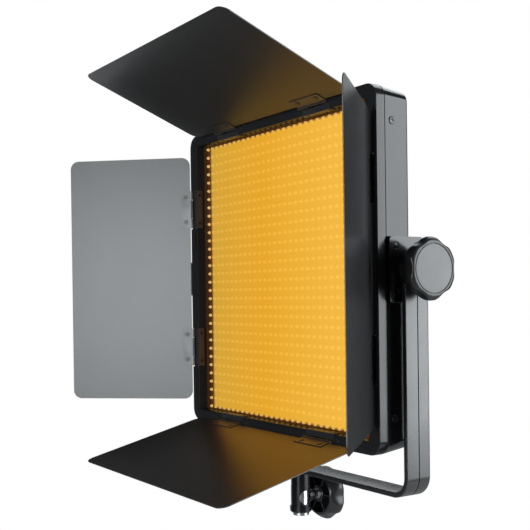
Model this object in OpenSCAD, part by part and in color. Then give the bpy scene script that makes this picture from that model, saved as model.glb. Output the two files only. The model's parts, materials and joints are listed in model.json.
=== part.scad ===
/* [LED field] */
// Distance between neighbouring LEDs
led_pitch = 10; // [9:0.5:10]
// LEDs along each side of the square field
led_rows = 32; // [24:1:32]

/* [Case] */
// Width of the case at the seam
case_w = 346; // [344:1:350]
// Height of the case at the seam
case_h = 342; // [340:1:350]
// Side of the square front opening
opening_w = 316; // [312:1:316]
// Distance from the tilt axis forward to the front face
front_reach = 35; // [34:0.5:38]
// Distance from the tilt axis back to the rear face
rear_reach = 7.5; // [6:0.5:9]
// Corner radius of the case seen from the front
case_corner_r = 14; // [10:1:18]
// Wall thickness of the rear shell
wall = 2.5; // [2:0.5:3]

/* [Barn doors] */
// Length of each door along its hinge
door_w = 292; // [240:2:292]
// Reach of each door from its hinge axis
door_len = 153; // [100:1:155]
// Thickness of the door sheet
sheet_t = 1; // [0.8:0.1:1]
// Corner radius of the doors
door_corner_r = 10; // [5:1:20]
// Distance from the field centre to each hinge axis
hinge_out = 165; // [164:0.5:166]
// Opening of the top door, measured from straight ahead
top_angle = 21.9; // [0:0.1:60]
// Opening of the bottom door, measured from straight ahead
bottom_angle = 13.7; // [0:0.1:60]
// Opening of the left door, measured from straight ahead
left_angle = 42.2; // [0:0.1:60]
// Opening of the right door, measured from straight ahead
right_angle = 42.5; // [0:0.1:60]

/* [Yoke] */
// Height of the tilt axis above the mouth of the stand socket
tilt_h = 260; // [255:1:270]
// Outside width of the yoke
yoke_w = 374; // [374:1:380]
// Width of the flat yoke bar
bar_w = 29; // [27:1:31]
// Thickness of the flat yoke bar
bar_t = 5; // [5:0.5:6]
// Height of the top of the cross bar above the socket mouth
bar_top_h = 54; // [54:1:60]
// Outside radius of the two bends
bend_r = 20; // [14:1:30]

/* [Stand socket] */
// Diameter of the socket bore for a 16 mm spigot
socket_d = 16.1; // [16.05:0.05:16.2]
// Depth of the socket bore
socket_depth = 38; // [30:1:38]
// Height of the clamp screw above the socket mouth
clamp_h = 19.5; // [19:0.5:20]

/* [Hand knobs] */
// Diameter over the lobes
knob_d = 58; // [50:1:58]
// Height of a knob
knob_h = 18; // [16:1:20]
// Lobes around a knob
knob_lobes = 6; // [5:1:8]
// Depth of the scallops between the lobes
scallop_depth = 2.8; // [1:0.2:3]

/* [Hidden] */

$fn = 64;
eps = 0.01;

// The four sides of the case as turns about the forward axis, then each side's door opening
TOP = 0;
RIGHT = 90;
BOTTOM = 180;
LEFT = 270;
SIDES = [TOP, RIGHT, BOTTOM, LEFT];
function door_angle(side) =
    side == TOP ? top_angle :
    side == RIGHT ? right_angle :
    side == BOTTOM ? bottom_angle : left_angle;

// Stations along the forward axis; the front is -Y
front_y = -front_reach;
rear_y = rear_reach;
seam_y = -24.4;
seam_gap = 0.3;
filter_y = seam_y - seam_gap;
filter_t = 1;
board_front_y = -19;
board_t = 1.6;
plate_t = 2;
led_d = 5;
led_h = 3;
plate_r = 1;
pillar_at = 130;
draft = 3.5;
case_screw_y = -15.5;
case_screw_z = 137;
case_head_r = 3.4;
head_r = 2.9;
screw_r = 1.5;
vent_w = 3;
vent_h = 46;
vent_step = 9;
vents = 25;
vent_level = 95;

// Yoke and pivots
arm_in = yoke_w / 2 - bar_t;
arm_out = yoke_w / 2;
groove_w = 1.2;
groove_depth = 0.9;
block_out = 177;
block_in = 161.5;
block_h = 61;
block_front_y = seam_y + seam_gap;
block_screw_z = 22;
block_corner_r = 4;
stud_r = 4;
bore_gap = 0.05;
washer_r = 13;

// Bar across the back
spine_y = 18;
spine_h = 62;
spine_w = 2 * (block_in - 0.2);

// Stand receiver
socket_r = socket_d / 2;
liner_r = 8.9;
receiver_r = 10.4;
mid_r = 10.7;
collar_r = 11.8;
collar_low_h = 3;
collar_h = 9.4;
mid_low_h = 10.3;
mid_top_h = 31.5;
boss_r = 7.5;
boss_reach = 14;
window_r = 7.6;
bolt_head_r = 6.5;
bolt_head_h = 2.4;
clamp_knob_y = 22.4;

// Knobs
knob_r = knob_d / 2;
knob_base_r = 23;
knob_wide_h = 12.5;
knob_gap = 4.5;
knob_shoulder = 5.5;
scallop_r = 12;
cap_r = 22.5;
cap_t = 1.4;
hub_r = 9;
hub_reach = 4;
insert_r = 6;
insert_h = 12;
hollow_r = 20.5;
hollow_h = 12;
rib_t = 1.6;

// Barn-door hinges
knuckle_r = 1.5;
pin_r = 0.8;
leaf_t = 0.8;
leaf_len = 45;
door_knuckle_len = 22.4;
frame_knuckle_len = 11;
leaf_at = 83;
rivet_step = 30;
rivet_u = 8;
rivet_r = 2.6;
sheet_start = 2.6;
door_leaf_reach = 13;
flange_reach = 8;
opening_half = opening_w / 2;
flange_in = hinge_out - opening_half + 1;

rivet_hole_r = 1.55;
leaf_screw_x = 17;

// The side doors fold first, so the top and bottom hinges stand further forward
function axis_lift(side) = (side == LEFT || side == RIGHT) ? 2.6 : 4.2;

// Controls on the back, placed across it from the middle
display_x = 0;
display_w = 60;
display_h = 26;
inlet_x = 92;
inlet_r = 6;
inlet_bore_r = 2.8;
inlet_pin_r = 1.05;
rocker_x = 125;
rocker_w = 21;
rocker_h = 15;
rocker_rest = 9;
dimmer_x = -88;
colour_x = -124;
dial_r = 11;
dial_h = 13;
dial_shaft_r = 3;
dial_ribs = 18;
button_x = -42;
button_step = 12;
button_r = 3.5;
button_out = 2.5;

// Rounded rectangle of plain arcs and straight edges, centred
module round_rect(w, h, r) {
    square([w - 2 * r, h], center = true);
    square([w, h - 2 * r], center = true);
    for (x = [-1, 1], z = [-1, 1])
        translate([x * (w / 2 - r), z * (h / 2 - r)]) circle(r);
}

// Extrudes a front view, drawn with the height upwards, from y0 back to y1 about the field centre
module plate(y0, y1) {
    translate([0, y1, tilt_h]) rotate([90, 0, 0]) linear_extrude(y1 - y0) children();
}

// A cylinder lying along Y from y0 back to y1
module bar_y(r, y0, y1) {
    translate([0, y0, 0]) rotate([-90, 0, 0]) cylinder(r = r, h = y1 - y0);
}

// A cylinder lying along X from x0 to x1
module bar_x(r, x0, x1) {
    translate([x0, 0, 0]) rotate([0, 90, 0]) cylinder(r = r, h = x1 - x0);
}

// Puts a side's parts on that side of the case
module on_side(side) {
    translate([0, 0, tilt_h]) rotate([0, side, 0]) children();
}

// Hinge frame of a side: X along the hinge axis, Z outwards, origin on the axis
module at_hinge(side) {
    on_side(side) translate([0, front_y - axis_lift(side), hinge_out]) children();
}

// Door frame of a side: the door lies along -Y, and +Z is its outer face
module on_door(side) {
    at_hinge(side) rotate([-door_angle(side), 0, 0]) children();
}

// Mirrors a right-hand part onto the left for hand = -1
module on_hand(hand) {
    mirror([hand < 0 ? 1 : 0, 0, 0]) children();
}

// ---- Yoke and stand socket ----

// Section of the flat bar, with the groove down its outer face
module bar_section() {
    difference() {
        square([bar_t, bar_w]);
        translate([bar_t - groove_depth, (bar_w - groove_w) / 2]) square([groove_depth + 1, groove_w]);
    }
}

module yoke_bar() {
    bend_z = bar_top_h - bar_t + bend_r;
    bend_x = arm_out - bend_r;
    color("dimgray") difference() {
        union() {
            for (hand = [1, -1]) on_hand(hand) {
                translate([arm_in, -bar_w / 2, bend_z]) linear_extrude(tilt_h - bend_z) bar_section();
                translate([0, 0, tilt_h]) bar_x(bar_w / 2, arm_in, arm_out);
                translate([bend_x, bar_w / 2, bend_z]) rotate([90, 0, 0]) rotate([0, 0, -90])
                    rotate_extrude(angle = 90) translate([bend_r - bar_t, 0]) bar_section();
            }
            translate([-bend_x, -bar_w / 2, bar_top_h]) rotate([0, 90, 0])
                linear_extrude(2 * bend_x) bar_section();
        }
        translate([0, 0, tilt_h]) bar_x(stud_r + bore_gap, -arm_out - 1, arm_out + 1);
        translate([0, 0, bar_top_h - bar_t - 1]) cylinder(r = stud_r + bore_gap, h = bar_t + 2);
    }
}

module stand_receiver() {
    color("dimgray") difference() {
        union() {
            translate([0, 0, collar_low_h]) cylinder(r1 = collar_r - 1.5, r2 = collar_r, h = 1.5);
            translate([0, 0, collar_low_h + 1.5 - eps])
                cylinder(r = collar_r, h = collar_h - collar_low_h - 1.5);
            translate([0, 0, collar_low_h]) cylinder(r = receiver_r, h = bar_top_h - bar_t - collar_low_h);
            translate([0, 0, mid_low_h]) cylinder(r = mid_r, h = mid_top_h - mid_low_h);
            translate([0, 0, clamp_h]) bar_y(boss_r, 0, boss_reach);
        }
        translate([0, 0, -1]) cylinder(r = liner_r, h = socket_depth + 1);
        translate([0, 0, socket_depth - 1]) cylinder(r = stud_r + bore_gap, h = bar_top_h);
        translate([0, 0, clamp_h]) bar_y(stud_r + bore_gap, 0, boss_reach + 1);
        translate([0, 0, clamp_h]) bar_x(window_r, 0, collar_r + 1);
    }
}

// Bright sleeve pressed into the receiver; it shows at the mouth and through the side window
module socket_liner() {
    color("silver") difference() {
        cylinder(r = liner_r, h = socket_depth);
        translate([0, 0, -1]) cylinder(r = socket_r, h = socket_depth + 2);
        translate([0, 0, clamp_h]) bar_y(stud_r + bore_gap, 0, boss_reach + 1);
    }
}

module receiver_bolt() {
    color("silver") {
        translate([0, 0, bar_top_h]) cylinder(r = bolt_head_r, h = bolt_head_h, $fn = 6);
        translate([0, 0, socket_depth + 1]) cylinder(r = stud_r, h = bar_top_h - socket_depth);
    }
}

// ---- Hand knobs, built upwards from the base ring ----

function knob_profile() = concat(
    [[0, 0], [knob_base_r, 0]],
    [for (i = [1:4]) let (a = 90 * i / 4)
        [knob_base_r + (knob_r - knob_base_r) * sin(a), knob_wide_h * i / 4]],
    [for (i = [1:5]) let (a = 90 * i / 5)
        [knob_r - knob_shoulder * (1 - cos(a)), knob_wide_h + (knob_h - knob_wide_h) * sin(a)]],
    [[0, knob_h]]
);

// hub is how far the hub stands out below the base ring
module knob_body(hub) {
    difference() {
        union() {
            rotate_extrude() polygon(knob_profile());
            translate([0, 0, -hub]) cylinder(r = hub_r, h = hub + 1);
        }
        for (i = [0:knob_lobes - 1]) rotate(360 / knob_lobes * (i + 0.5))
            translate([knob_r + scallop_r - scallop_depth, 0, -1]) cylinder(r = scallop_r, h = knob_h + 2);
        difference() {
            translate([0, 0, -1]) cylinder(r = hollow_r, h = hollow_h + 1);
            translate([0, 0, -hub - 1]) cylinder(r = hub_r, h = hollow_h + hub + 2);
            for (i = [0:knob_lobes - 1]) rotate(360 / knob_lobes * (i + 0.5))
                translate([0, -rib_t / 2, 1]) cube([hollow_r + 1, rib_t, hollow_h + 1]);
        }
        translate([0, 0, -hub - 1]) cylinder(r = insert_r, h = insert_h + hub + 1);
        translate([0, 0, knob_h - cap_t]) cylinder(r = cap_r + 0.3, h = cap_t + 1);
    }
}

module knob_cap() {
    translate([0, 0, knob_h - cap_t]) cylinder(r = cap_r, h = cap_t);
}

// Base of a tilt knob on the outer face of its yoke arm, pointing outwards
module at_tilt_knob(hand) {
    on_hand(hand) translate([arm_out + knob_gap, 0, tilt_h]) rotate([0, 90, 0]) children();
}

module at_clamp_knob() {
    translate([0, clamp_knob_y, clamp_h]) rotate([-90, 0, 0]) rotate(180 / knob_lobes) children();
}

module tilt_knob(hand) {
    color("#1d1e20") at_tilt_knob(hand) knob_body(hub_reach);
}

module tilt_knob_cap(hand) {
    color("#2a2b2d") at_tilt_knob(hand) knob_cap();
}

// Threaded brass insert that runs on the pivot stud
module knob_insert(hand) {
    color("goldenrod") at_tilt_knob(hand) difference() {
        translate([0, 0, -hub_reach]) cylinder(r = insert_r, h = insert_h + hub_reach);
        translate([0, 0, -hub_reach - 1]) cylinder(r = stud_r + bore_gap, h = insert_h + hub_reach + 2);
    }
}

module clamp_knob() {
    color("#1d1e20") at_clamp_knob() knob_body(0);
}

module clamp_knob_cap() {
    color("#2a2b2d") at_clamp_knob() knob_cap();
}

// Screw moulded into the clamp knob, with its tip just short of the socket bore
module clamp_screw() {
    color("silver") translate([0, 0, clamp_h]) {
        bar_y(stud_r, socket_r + 0.3, clamp_knob_y + insert_h);
        bar_y(insert_r, clamp_knob_y, clamp_knob_y + insert_h);
    }
}

// ---- Case ----

module front_bezel() {
    color("#2b2c2e") plate(front_y, filter_y) difference() {
        round_rect(case_w, case_h, case_corner_r);
        round_rect(opening_w, opening_w, 3);
    }
}

// A thin slice of the rear shell's outline, drawn in by inset on every side
module shell_slice(y, inset, r) {
    plate(y - eps, y) round_rect(case_w - 2 * inset, case_h - 2 * inset, r);
}

module rear_shell() {
    color("#343638") difference() {
        hull() {
            $fn = 32;
            shell_slice(seam_y + eps, 0, case_corner_r);
            shell_slice(rear_y - 3, draft, case_corner_r - 2);
            shell_slice(rear_y - 0.9, draft + 0.9, case_corner_r - 3);
            shell_slice(rear_y, draft + 3, case_corner_r - 5);
        }
        hull() {
            $fn = 32;
            shell_slice(seam_y - eps, wall, case_corner_r - wall);
            shell_slice(rear_y - wall, draft + wall + 1, case_corner_r - 5);
        }
        for (hand = [1, -1]) on_hand(hand) block_pocket();
        for (level = [-vent_level, vent_level], i = [0:vents - 1])
            translate([(i - (vents - 1) / 2) * vent_step, rear_y - wall - 1, tilt_h + level])
                translate([-vent_w / 2, 0, -vent_h / 2]) cube([vent_w, wall + 2, vent_h]);
        for (hand = [1, -1], z = [-1, 1]) on_hand(hand)
            translate([0, case_screw_y, tilt_h + z * case_screw_z])
                bar_x(screw_r + 0.1, case_w / 2 - 8, case_w / 2 + 1);
    }
}

// Pan-head screws on the two sides of the case
module case_screws() {
    head_x = case_w / 2 - draft * (case_screw_y - seam_y) / (rear_y - seam_y) + 0.3;
    color("#55575a") for (hand = [1, -1], z = [-1, 1]) on_hand(hand)
        translate([0, case_screw_y, tilt_h + z * case_screw_z]) {
            bar_x(screw_r, head_x - 7, head_x + 0.5);
            bar_x(case_head_r, head_x, head_x + 1.1);
        }
}

// Hollow bar across the back that joins the pivot blocks and carries the controls
module rear_spine() {
    color("#303234") difference() {
        plate(rear_y, spine_y) round_rect(spine_w, spine_h, 5);
        plate(rear_y - 1, spine_y - wall) round_rect(spine_w - 2 * wall, spine_h - 2 * wall, 3);
        at_rear(display_x, 0) translate([0, 0, -wall - 1]) linear_extrude(wall + 2)
            round_rect(display_w, display_h, 2);
        at_rear(inlet_x, 0) translate([0, 0, -wall - 1]) cylinder(r = inlet_r + bore_gap, h = wall + 2);
        at_rear(rocker_x, 0) translate([0, 0, -wall / 2]) cube([rocker_w, rocker_h, wall + 2], center = true);
        for (x = [dimmer_x, colour_x]) at_rear(x, 0)
            translate([0, 0, -wall - 1]) cylinder(r = dial_shaft_r + bore_gap, h = wall + 2);
        for (i = [0:2]) at_rear(button_x - i * button_step, 0)
            translate([0, 0, -wall - 1]) cylinder(r = button_r + bore_gap, h = wall + 2);
    }
}

// A point on the spine's rear face, with Z pointing out of the back and X still to the right
module at_rear(x, z) {
    translate([x, spine_y, tilt_h + z]) rotate([-90, 0, 0]) children();
}

module amber_filter() {
    color("orange") plate(filter_y, filter_y + filter_t) round_rect(opening_w + 4, opening_w + 4, 3);
}

// Spacer that presses the filter against the bezel
module filter_frame() {
    color("#303030") plate(filter_y + filter_t, board_front_y) difference() {
        round_rect(opening_w + 6, opening_w + 6, 3);
        round_rect(opening_w, opening_w, plate_r);
    }
}

// Each bar stands for one row of round LED lenses
module led_array() {
    row_w = (led_rows - 1) * led_pitch + led_d;
    color("lightyellow") for (i = [0:led_rows - 1])
        translate([-row_w / 2, board_front_y - led_h, tilt_h + (i - (led_rows - 1) / 2) * led_pitch - led_d / 2])
            cube([row_w, led_h, led_d]);
}

module led_board() {
    color("darkgreen") plate(board_front_y, board_front_y + board_t)
        round_rect(opening_w + 6, opening_w + 6, 3);
}

// Aluminium plate with four pillars to the rear shell
module heat_plate() {
    plate_y = board_front_y + board_t;
    color("silver") {
        plate(plate_y, plate_y + plate_t) round_rect(opening_w, opening_w, 3);
        for (x = [-1, 1], z = [-1, 1]) translate([x * pillar_at, 0, tilt_h + z * pillar_at])
            bar_y(4, plate_y + plate_t - eps, rear_y - wall);
    }
}

// Driver electronics on a board behind the heat plate
module driver_board() {
    back_y = board_front_y + board_t + plate_t;
    color("darkgreen") translate([0, back_y + 3, tilt_h - 75]) {
        translate([-80, 0, -35]) cube([160, board_t, 70]);
        for (x = [-70, 70], z = [-28, 28]) translate([x, 0, z]) bar_y(2.5, -3, eps);
        translate([-60, board_t - eps, -20]) cube([30, 9, 30]);
        translate([-15, board_t - eps, -25]) cube([18, 8, 18]);
        for (i = [0:3]) translate([20 + i * 14, 0, 5]) bar_y(5, board_t - eps, board_t + 9);
    }
}

// ---- Tilt pivots ----

// Room for a pivot block in the side of the shell, open to the seam
module block_pocket() {
    block_outline(bore_gap, block_in - 0.1, block_out + 1);
    translate([block_in - 0.1, seam_y - 1, tilt_h - block_h / 2 - bore_gap])
        cube([block_out - block_in + 1, block_corner_r + 1, block_h + 2 * bore_gap]);
}

// Outline of a pivot block seen from the side, grown by gap and run from x0 to x1
module block_outline(gap, x0, x1) {
    depth = spine_y - block_front_y;
    translate([x0, (spine_y + block_front_y) / 2, tilt_h]) rotate([90, 0, 90])
        linear_extrude(x1 - x0) round_rect(depth + 2 * gap, block_h + 2 * gap, block_corner_r);
}

module pivot_block(hand) {
    color("#38393c") on_hand(hand) difference() {
        block_outline(0, block_in, block_out);
        translate([0, 0, tilt_h]) bar_x(stud_r, block_in - 1, block_out + 1);
        at_block_screws() {
            bar_x(screw_r + 0.1, block_out - 10, block_out);
            bar_x(head_r + 0.3, block_out - 1.6, block_out + 1);
        }
    }
}

module at_block_screws() {
    for (y = [-16, 9], z = [-block_screw_z, block_screw_z]) translate([0, y, tilt_h + z]) children();
}

module block_screws() {
    color("#6a6c70") for (hand = [1, -1]) on_hand(hand) at_block_screws() {
        bar_x(screw_r, block_out - 9.5, block_out - 1.5);
        bar_x(head_r, block_out - 1.5, block_out - 0.1);
    }
}

// Threaded stud held in the pivot block; the yoke arm and the knob turn on it
module pivot_stud(hand) {
    color("silver") on_hand(hand) translate([0, 0, tilt_h])
        bar_x(stud_r, block_in + 2, arm_out + knob_gap + insert_h - 1);
}

module tilt_washer(hand) {
    color("#222222") on_hand(hand) translate([0, 0, tilt_h]) difference() {
        bar_x(washer_r, block_out, arm_in - 0.3);
        bar_x(stud_r + bore_gap, block_out - 1, arm_in + 1);
    }
}

// ---- Barn-door hinges ----

module frame_leaves(side) {
    lift = axis_lift(side);
    color("#26272a") at_hinge(side) for (c = [-leaf_at, leaf_at]) translate([c, 0, 0]) difference() {
        union() {
            translate([-leaf_len / 2, lift - leaf_t, -flange_in]) cube([leaf_len, leaf_t, flange_in]);
            translate([-leaf_len / 2, lift - leaf_t, -flange_in]) cube([leaf_len, flange_reach, 1]);
            for (x = [-leaf_len / 2, leaf_len / 2 - frame_knuckle_len]) {
                bar_x(knuckle_r, x, x + frame_knuckle_len);
                translate([x, 0, -knuckle_r]) cube([frame_knuckle_len, lift, 2 * knuckle_r]);
            }
        }
        bar_x(pin_r + 0.02, -leaf_len, leaf_len);
        translate([-door_knuckle_len / 2 - 0.3, -3, -knuckle_r - 0.4])
            cube([door_knuckle_len + 0.6, lift + 3, 2 * knuckle_r + 1]);
        leaf_screw_places(lift) cylinder(r = 1.25, h = 4, center = true);
    }
}

// Two places along a frame leaf's inner flange, with Z pointing outwards through it
module leaf_screw_places(lift) {
    for (x = [-leaf_screw_x, leaf_screw_x]) translate([x, lift + 3.5, -flange_in + 0.5]) children();
}

module leaf_screws() {
    color("#55575a") for (side = SIDES) at_hinge(side)
        for (c = [-leaf_at, leaf_at]) translate([c, 0, 0]) leaf_screw_places(axis_lift(side)) {
            translate([0, 0, -1]) cylinder(r = 1.9, h = 0.5);
            translate([0, 0, -0.6]) cylinder(r = 1.2, h = 1.1);
        }
}

module hinge_pins() {
    color("silver") for (side = SIDES) at_hinge(side)
        for (c = [-leaf_at, leaf_at]) translate([c, 0, 0]) {
            bar_x(pin_r, -leaf_len / 2 - 0.4, leaf_len / 2 + 0.4);
            bar_x(1.2, -leaf_len / 2 - 1, -leaf_len / 2 - 0.3);
        }
}

module door_sheet(side) {
    color("#3a3c3f") on_door(side) difference() {
        translate([0, -(door_len + sheet_start) / 2, leaf_t / 2]) linear_extrude(sheet_t)
            round_rect(door_w, door_len - sheet_start, door_corner_r);
        rivet_places() cylinder(r = rivet_hole_r, h = 12, center = true);
    }
}

module rivet_places() {
    for (c = [-leaf_at, leaf_at], r = [-rivet_step / 2, rivet_step / 2])
        translate([c + r, -rivet_u, 0]) children();
}

module door_leaves(side) {
    color("#2c2d30") on_door(side) difference() {
        for (c = [-leaf_at, leaf_at]) translate([c, 0, 0]) {
            translate([-leaf_len / 2, -door_leaf_reach, -leaf_t / 2])
                cube([leaf_len, door_leaf_reach - knuckle_r - 0.4, leaf_t]);
            translate([-door_knuckle_len / 2, -door_leaf_reach, -leaf_t / 2])
                cube([door_knuckle_len, door_leaf_reach, leaf_t]);
            bar_x(knuckle_r, -door_knuckle_len / 2, door_knuckle_len / 2);
        }
        bar_x(pin_r + bore_gap, -door_w, door_w);
        rivet_places() cylinder(r = rivet_hole_r, h = 12, center = true);
    }
}

module door_rivets(side) {
    tail_n = leaf_t / 2 + sheet_t;
    color("#9a9ca0") on_door(side) rivet_places() {
        translate([0, 0, -leaf_t / 2 - 0.6]) cylinder(r = rivet_r, h = 0.6);
        translate([0, 0, -leaf_t / 2 - eps]) cylinder(r = 1.5, h = leaf_t + sheet_t + 2 * eps);
        translate([0, 0, tail_n]) cylinder(r = rivet_r - 0.4, h = 0.5);
    }
}

// ---- Rear controls ----

module display_window() {
    color("#10161a") at_rear(display_x, 0) translate([0, 0, -wall]) {
        linear_extrude(wall - 0.4) round_rect(display_w - 0.1, display_h - 0.1, 2);
    }
}

// Round direct-current inlet with its centre pin
module dc_inlet() {
    color("#202020") at_rear(inlet_x, 0) {
        difference() {
            union() {
                translate([0, 0, -9]) cylinder(r = inlet_r, h = 9);
                cylinder(r = inlet_r + 1.5, h = 1.2);
            }
            translate([0, 0, -8]) cylinder(r = inlet_bore_r, h = 12);
        }
        translate([0, 0, -8.5]) cylinder(r = inlet_pin_r, h = 8);
    }
}

module rocker_frame() {
    color("#18191a") at_rear(rocker_x, 0) difference() {
        union() {
            translate([0, 0, 0.6]) cube([rocker_w + 4, rocker_h + 4, 1.2], center = true);
            translate([0, 0, -4]) cube([rocker_w - 0.2, rocker_h - 0.2, 8], center = true);
        }
        cube([rocker_w - 3, rocker_h - 3, 10], center = true);
        translate([0, 0, -2]) rotate([90, 0, 0]) cylinder(r = 1.25, h = rocker_h, center = true);
    }
}

// Two-faced rocker on trunnions along Z, resting with its right half pressed in
module power_rocker() {
    half = (rocker_w - 4.4) / 2;
    color("#0f0f10") at_rear(rocker_x, 0) translate([0, 0, -2]) rotate([0, rocker_rest, 0]) {
        rotate([90, 0, 0]) linear_extrude(rocker_h - 4, center = true)
            polygon([[-half, 0], [half, 0], [half, 2.2], [0, 3.4], [-half, 2.2]]);
        rotate([90, 0, 0]) cylinder(r = 1.2, h = rocker_h - 1.4, center = true);
    }
}

// Ribbed dial with its shaft and pointer line
module dial(x) {
    color("#1b1c1e") at_rear(x, 0) difference() {
        union() {
            translate([0, 0, 0.4]) cylinder(r = dial_r, h = dial_h);
            translate([0, 0, -5]) cylinder(r = dial_shaft_r, h = 6);
        }
        for (i = [0:dial_ribs - 1]) rotate(360 / dial_ribs * (i + 0.5))
            translate([dial_r + 0.5, 0, 2]) cylinder(r = 1, h = dial_h);
        translate([-0.5, -dial_r - 1, dial_h - 0.2]) cube([1, dial_r * 2 / 3, 1]);
    }
}

module button(index) {
    color("#4a4c50") at_rear(button_x - index * button_step, 0) {
        translate([0, 0, -wall - 0.5]) cylinder(r = button_r, h = wall + 0.5 + button_out);
        translate([0, 0, -wall - 1.2]) cylinder(r = button_r + 1, h = 0.8);
    }
}

yoke_bar();
stand_receiver();
socket_liner();
receiver_bolt();
clamp_knob();
clamp_knob_cap();
clamp_screw();
front_bezel();
rear_shell();
rear_spine();
case_screws();
amber_filter();
filter_frame();
led_array();
led_board();
heat_plate();
driver_board();
pivot_block(-1);  // pivot_block_left
pivot_block(1);  // pivot_block_right
block_screws();
pivot_stud(-1);  // pivot_stud_left
pivot_stud(1);  // pivot_stud_right
tilt_washer(-1);  // tilt_washer_left
tilt_washer(1);  // tilt_washer_right
tilt_knob(-1);  // tilt_knob_left
tilt_knob(1);  // tilt_knob_right
tilt_knob_cap(-1);  // tilt_knob_cap_left
tilt_knob_cap(1);  // tilt_knob_cap_right
knob_insert(-1);  // knob_insert_left
knob_insert(1);  // knob_insert_right
frame_leaves(TOP);  // frame_leaves_top
frame_leaves(BOTTOM);  // frame_leaves_bottom
frame_leaves(LEFT);  // frame_leaves_left
frame_leaves(RIGHT);  // frame_leaves_right
leaf_screws();
hinge_pins();
door_sheet(TOP);  // door_top
door_sheet(BOTTOM);  // door_bottom
door_sheet(LEFT);  // door_left
door_sheet(RIGHT);  // door_right
door_leaves(TOP);  // door_leaves_top
door_leaves(BOTTOM);  // door_leaves_bottom
door_leaves(LEFT);  // door_leaves_left
door_leaves(RIGHT);  // door_leaves_right
door_rivets(TOP);  // door_rivets_top
door_rivets(BOTTOM);  // door_rivets_bottom
door_rivets(LEFT);  // door_rivets_left
door_rivets(RIGHT);  // door_rivets_right
display_window();
dc_inlet();
rocker_frame();
power_rocker();
dial(dimmer_x);  // dimmer_knob
dial(colour_x);  // colour_knob
button(0);  // mode_button
button(1);  // up_button
button(2);  // down_button
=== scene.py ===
import json
import math

import bmesh
import bpy
from mathutils import Euler, Matrix, Quaternion, Vector

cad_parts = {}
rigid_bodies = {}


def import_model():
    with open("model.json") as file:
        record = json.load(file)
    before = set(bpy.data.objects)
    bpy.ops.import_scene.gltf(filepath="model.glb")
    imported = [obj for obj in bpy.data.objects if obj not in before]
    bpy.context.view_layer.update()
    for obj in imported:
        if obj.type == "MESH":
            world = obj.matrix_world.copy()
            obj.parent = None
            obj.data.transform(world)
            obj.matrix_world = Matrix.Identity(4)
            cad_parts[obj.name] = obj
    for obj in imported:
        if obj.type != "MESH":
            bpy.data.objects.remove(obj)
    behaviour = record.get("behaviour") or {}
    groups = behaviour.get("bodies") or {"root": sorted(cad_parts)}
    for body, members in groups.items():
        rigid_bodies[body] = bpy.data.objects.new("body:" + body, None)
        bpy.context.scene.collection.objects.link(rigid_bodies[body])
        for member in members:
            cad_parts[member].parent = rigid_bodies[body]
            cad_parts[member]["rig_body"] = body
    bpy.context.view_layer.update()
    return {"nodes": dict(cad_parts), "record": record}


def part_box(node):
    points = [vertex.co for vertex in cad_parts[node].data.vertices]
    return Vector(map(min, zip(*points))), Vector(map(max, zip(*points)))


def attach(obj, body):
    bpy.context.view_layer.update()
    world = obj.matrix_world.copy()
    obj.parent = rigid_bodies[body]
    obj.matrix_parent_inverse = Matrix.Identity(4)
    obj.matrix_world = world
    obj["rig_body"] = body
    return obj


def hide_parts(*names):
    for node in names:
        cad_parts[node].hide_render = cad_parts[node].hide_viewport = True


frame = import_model()

MM = 0.001

# ---- Places taken from the frame ----

yoke_low, yoke_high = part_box("yoke_bar")
bezel_low, bezel_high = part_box("front_bezel")
shell_low, shell_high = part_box("rear_shell")
block_low, block_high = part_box("pivot_block_right")
clamp_low, clamp_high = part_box("clamp_knob")
board_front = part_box("led_board")[0].y
leds_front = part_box("led_array")[0].y
filter_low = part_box("amber_filter")[0]
spine_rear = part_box("rear_spine")[1].y
CENTRE_Z = (bezel_low.z + bezel_high.z) / 2
TILT = Vector((0, 0, CENTRE_Z))

# ---- LED field: how much of it glows, as half widths and half heights ----

LEDS_A_SIDE = 32
LED_PITCH = 10 * MM
GLOW_SIDE = (LEDS_A_SIDE / 2 - 0.9) * LED_PITCH
GLOW_END = (LEDS_A_SIDE / 2 - 0.6) * LED_PITCH
GLOW_FADE = 1.5 * MM
FILTER_MARGIN = 11 * MM

# ---- Camera: place in metres, turns in degrees, lens in millimetres ----

CAMERA_AT = (0.8112, -0.5820, 0.2367)
VIEW_TURN = 56.415
VIEW_DROP = 0.522
VIEW_ROLL = -0.754
LENS = 62.5
SHIFT_UP = 0.0754

camera_data = bpy.data.cameras.new("camera")
camera = bpy.data.objects.new("camera", camera_data)
bpy.context.collection.objects.link(camera)
camera.location = CAMERA_AT
camera.rotation_mode = "QUATERNION"
aim = Euler((math.radians(90 - VIEW_DROP), 0, math.radians(VIEW_TURN))).to_quaternion()
camera.rotation_quaternion = aim @ Quaternion((0, 0, 1), math.radians(VIEW_ROLL))
camera_data.lens = LENS
camera_data.shift_y = SHIFT_UP
camera_data.clip_start = 0.01
bpy.context.scene.camera = camera

# ---- Materials: colours are linear, and scales are features per metre ----

EDGE_WEAR = 0.5 * MM
RUBBED = (0.045, 0.046, 0.049)
SHADE_SCALE = 14
GLOSS_SCALE = 35
WEAR_SCALE = 260


def new_material(name):
    """A new node material, its node tree and its principled shader."""
    mat = bpy.data.materials.new(name)
    mat.use_nodes = True
    tree = mat.node_tree
    return mat, tree, tree.nodes["Principled BSDF"]


def object_coords(tree):
    return tree.nodes.new("ShaderNodeTexCoord").outputs["Object"]


def noise(tree, scale, detail=4.0, rough=0.5):
    """Noise in object space, from 0 to 1."""
    node = tree.nodes.new("ShaderNodeTexNoise")
    node.inputs["Scale"].default_value = scale
    node.inputs["Detail"].default_value = detail
    node.inputs["Roughness"].default_value = rough
    tree.links.new(object_coords(tree), node.inputs["Vector"])
    return node.outputs["Fac"]


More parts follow.
